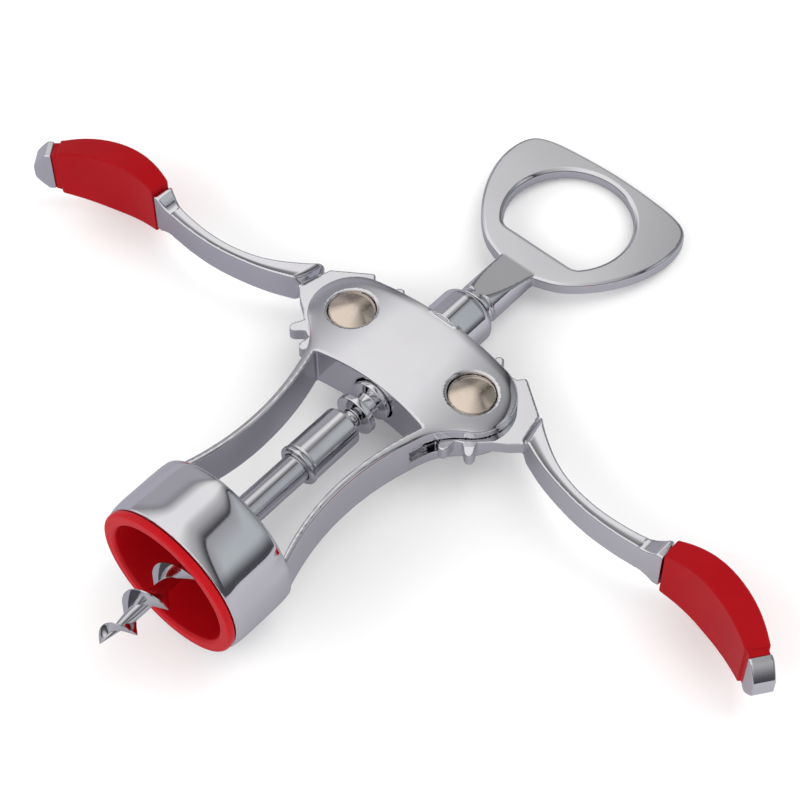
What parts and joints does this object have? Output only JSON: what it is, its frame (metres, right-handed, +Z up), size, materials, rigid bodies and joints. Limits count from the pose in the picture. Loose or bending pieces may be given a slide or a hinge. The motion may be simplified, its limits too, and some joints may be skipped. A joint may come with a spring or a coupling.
{
  "type": "lever corkscrew",
  "caption": "Winged corkscrew: geared side levers raise a round rack with a worm through an open frame and bell, under a flat ring handle that lifts crown caps.",
  "frame": {"origin": "middle of the box around the part, at its base: under the spindle axis, on the surface that the bell's side lies on, half way from the worm's tip to the end of the ring handle", "axes": "+Y along the spindle, from the worm's tip to the ring handle; +X towards the right wing's grip; +Z up, along the wing pivots' axes, out of the face with the domed rivet heads"},
  "size_m": [0.2134, 0.1666, 0.0376],
  "materials": {
    "chrome_casting": "mirror chrome plate on a polished zinc casting",
    "chrome_turned": "chrome plate over fine turning marks",
    "bright_steel": "polished steel wire, plated",
    "nickel_rivet": "warm satin nickel plate",
    "red_grip": "semi-gloss moulded plastic",
    "red_liner": "glossy moulded plastic"
  },
  "bodies": {
    "frame": {"body_frame": "chrome_casting", "bell_liner": "red_liner", "left_pivot_rivet": "nickel_rivet", "left_rivet_collar": "nickel_rivet", "right_pivot_rivet": "nickel_rivet", "right_rivet_collar": "nickel_rivet"},
    "right_wing": {"right_lever": "chrome_casting", "right_grip": "red_grip", "right_end_cap": "chrome_casting"},
    "left_wing": {"left_lever": "chrome_casting", "left_grip": "red_grip", "left_end_cap": "chrome_casting"},
    "slider": {"rack": "chrome_turned"},
    "screw": {"spindle_rod": "bright_steel", "ferrule": "chrome_turned", "worm": "bright_steel", "opener_handle": "chrome_casting", "handle_pin": "bright_steel"}
  },
  "joints": [
    {"name": "right_wing_hinge", "type": "hinge", "parent": "frame", "child": "right_wing", "pos_m": [0.0174, 0.0107, 0.0188], "axis": [0, 0, 1], "range_deg": [-80, 68]},
    {"name": "left_wing_hinge", "type": "hinge", "parent": "frame", "child": "left_wing", "pos_m": [-0.0174, 0.0107, 0.0188], "axis": [0, 0, -1], "range_deg": [-80, 68]},
    {"name": "rack_slide", "type": "slide", "parent": "frame", "child": "slider", "axis": [0, -1, 0], "range_m": [-0.01583, 0.01345]},
    {"name": "spindle_spin", "type": "hinge", "parent": "slider", "child": "screw", "pos_m": [0, 0.0107, 0.0188], "axis": [0, 1, 0], "continuous": true}
  ],
  "couplings": [
    {"joint": "left_wing_hinge", "follows": "right_wing_hinge", "ratio": 1},
    {"joint": "rack_slide", "follows": "right_wing_hinge", "m_per_rad": 0.01133}
  ]
}
